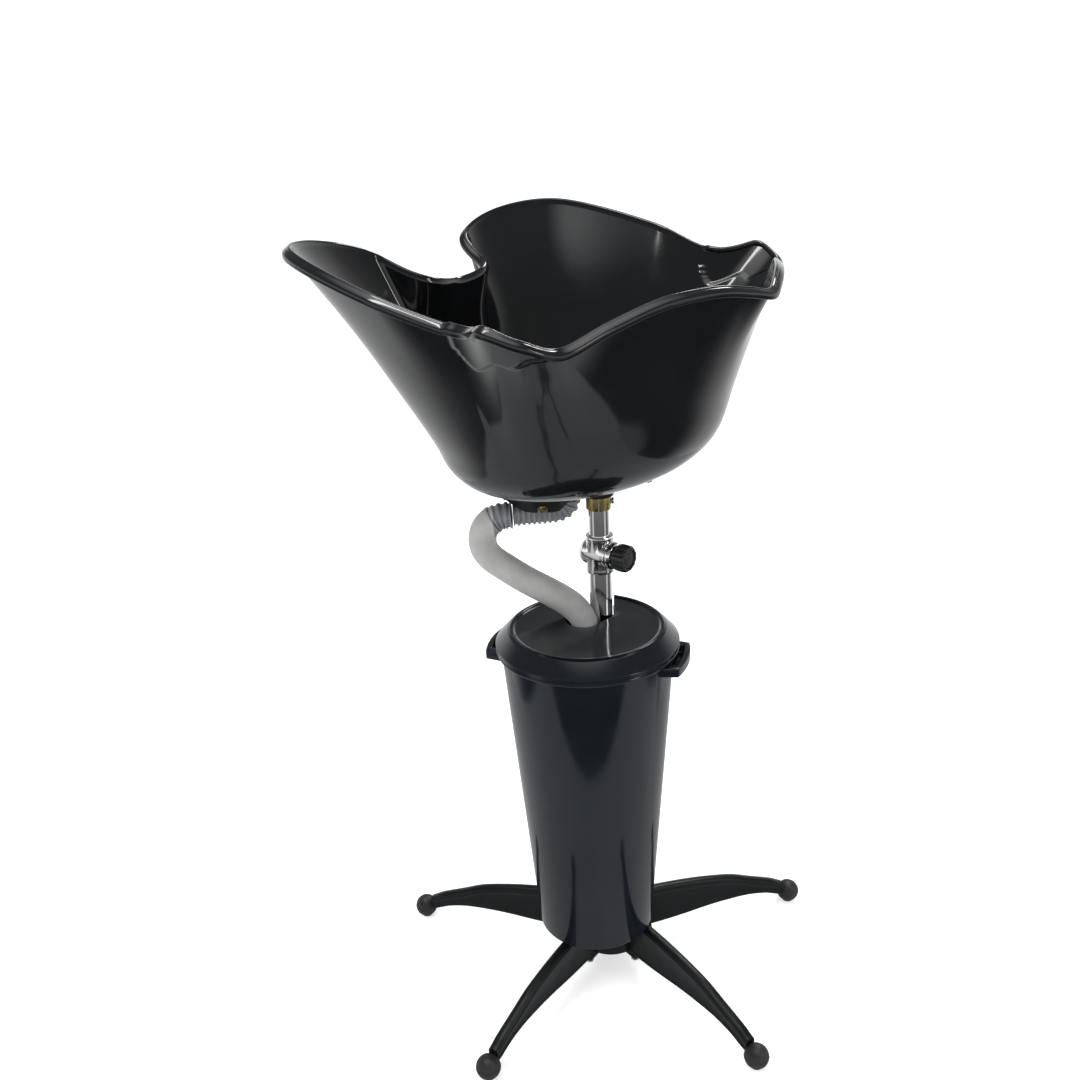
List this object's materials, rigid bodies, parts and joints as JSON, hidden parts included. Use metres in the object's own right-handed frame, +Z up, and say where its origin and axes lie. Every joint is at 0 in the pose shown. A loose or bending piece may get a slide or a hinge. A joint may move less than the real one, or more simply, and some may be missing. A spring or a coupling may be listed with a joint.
{
  "type": "shampoo backwash unit",
  "caption": "Hair-washing basin with a neck rest on a telescopic swivel mast, draining by hose into a lidded bucket on an arched star base.",
  "frame": {"origin": "on the floor under the mast's axis", "axes": "+Z up along the mast, +X to the right and -Y to the front as the unit is seen from the bucket side"},
  "size_m": [0.6023, 0.6476, 0.9932],
  "materials": {
    "basin_plastic": "gloss",
    "bucket_plastic": "gloss",
    "black_paint": "satin",
    "matte_black": "matt",
    "chrome": "polished",
    "yellow_zinc": "yellow passivated",
    "steel": "bright",
    "hose_plastic": "satin",
    "hose_ribs": "satin",
    "rubber": "matt",
    "nylon": "matt",
    "knob_plastic": "satin"
  },
  "bodies": {
    "base": {"base_hub": "black_paint", "leg_1": "black_paint", "leg_2": "black_paint", "leg_3": "black_paint", "leg_4": "black_paint", "leg_5": "black_paint", "foot_1": "rubber", "foot_2": "rubber", "foot_3": "rubber", "foot_4": "rubber", "foot_5": "rubber", "leg_bolt_1": "steel", "leg_bolt_2": "steel", "leg_bolt_3": "steel", "leg_bolt_4": "steel", "leg_bolt_5": "steel", "mast_washer": "steel", "mast_bolt": "steel", "mast_plug": "nylon", "lower_mast": "chrome", "clamp_body": "chrome", "clamp_ring": "chrome", "clamp_pad": "nylon", "hose_lower": "hose_plastic"},
    "swivel": {"guide_bush": "nylon"},
    "basin": {"upper_mast": "chrome", "mast_glide": "nylon", "basin_shell": "basin_plastic", "rear_screw": "steel", "basin_bracket": "black_paint", "bracket_bolt_1": "yellow_zinc", "bracket_bolt_2": "yellow_zinc", "bracket_bolt_3": "yellow_zinc", "bracket_bolt_4": "yellow_zinc", "bracket_nut_1": "yellow_zinc", "bracket_nut_2": "yellow_zinc", "bracket_nut_3": "yellow_zinc", "bracket_nut_4": "yellow_zinc", "mast_collar": "yellow_zinc", "collar_screw": "steel", "drain_flange": "chrome", "drain_gasket": "rubber", "drain_locknut": "matte_black", "hose_clip": "steel", "hose_ribbed": "hose_ribs", "hose_sleeve": "hose_plastic"},
    "strainer": {"drain_strainer": "chrome"},
    "knob": {"clamp_screw": "steel", "clamp_knob": "knob_plastic", "knob_cap": "knob_plastic"},
    "bucket": {"bucket": "bucket_plastic"},
    "lid": {"lid": "bucket_plastic"}
  },
  "joints": [
    {"name": "mast_swivel", "type": "hinge", "parent": "base", "child": "swivel", "pos_m": [0, 0, 0.598], "axis": [0, 0, 1], "range_deg": [-40, 40], "deforming": ["hose_lower", "hose_sleeve"]},
    {"name": "height_slide", "type": "slide", "parent": "swivel", "child": "basin", "axis": [0, 0, 1], "range_m": [-0.01, 0.1], "deforming": ["hose_lower", "hose_sleeve"]},
    {"name": "strainer_lift", "type": "slide", "parent": "basin", "child": "strainer", "axis": [0, 0, 1], "range_m": [0, 0.08]},
    {"name": "knob_turn", "type": "hinge", "parent": "base", "child": "knob", "pos_m": [0, 0, 0.598], "axis": [0.7986, -0.6018, 0], "range_deg": [0, 720]},
    {"name": "bucket_draw", "type": "slide", "parent": "base", "child": "bucket", "axis": [0, -1, 0], "range_m": [0, 0.3], "deforming": ["hose_lower"]},
    {"name": "lid_lift", "type": "slide", "parent": "bucket", "child": "lid", "axis": [0, 0, 1], "range_m": [0, 0.03], "deforming": ["hose_lower"]}
  ]
}
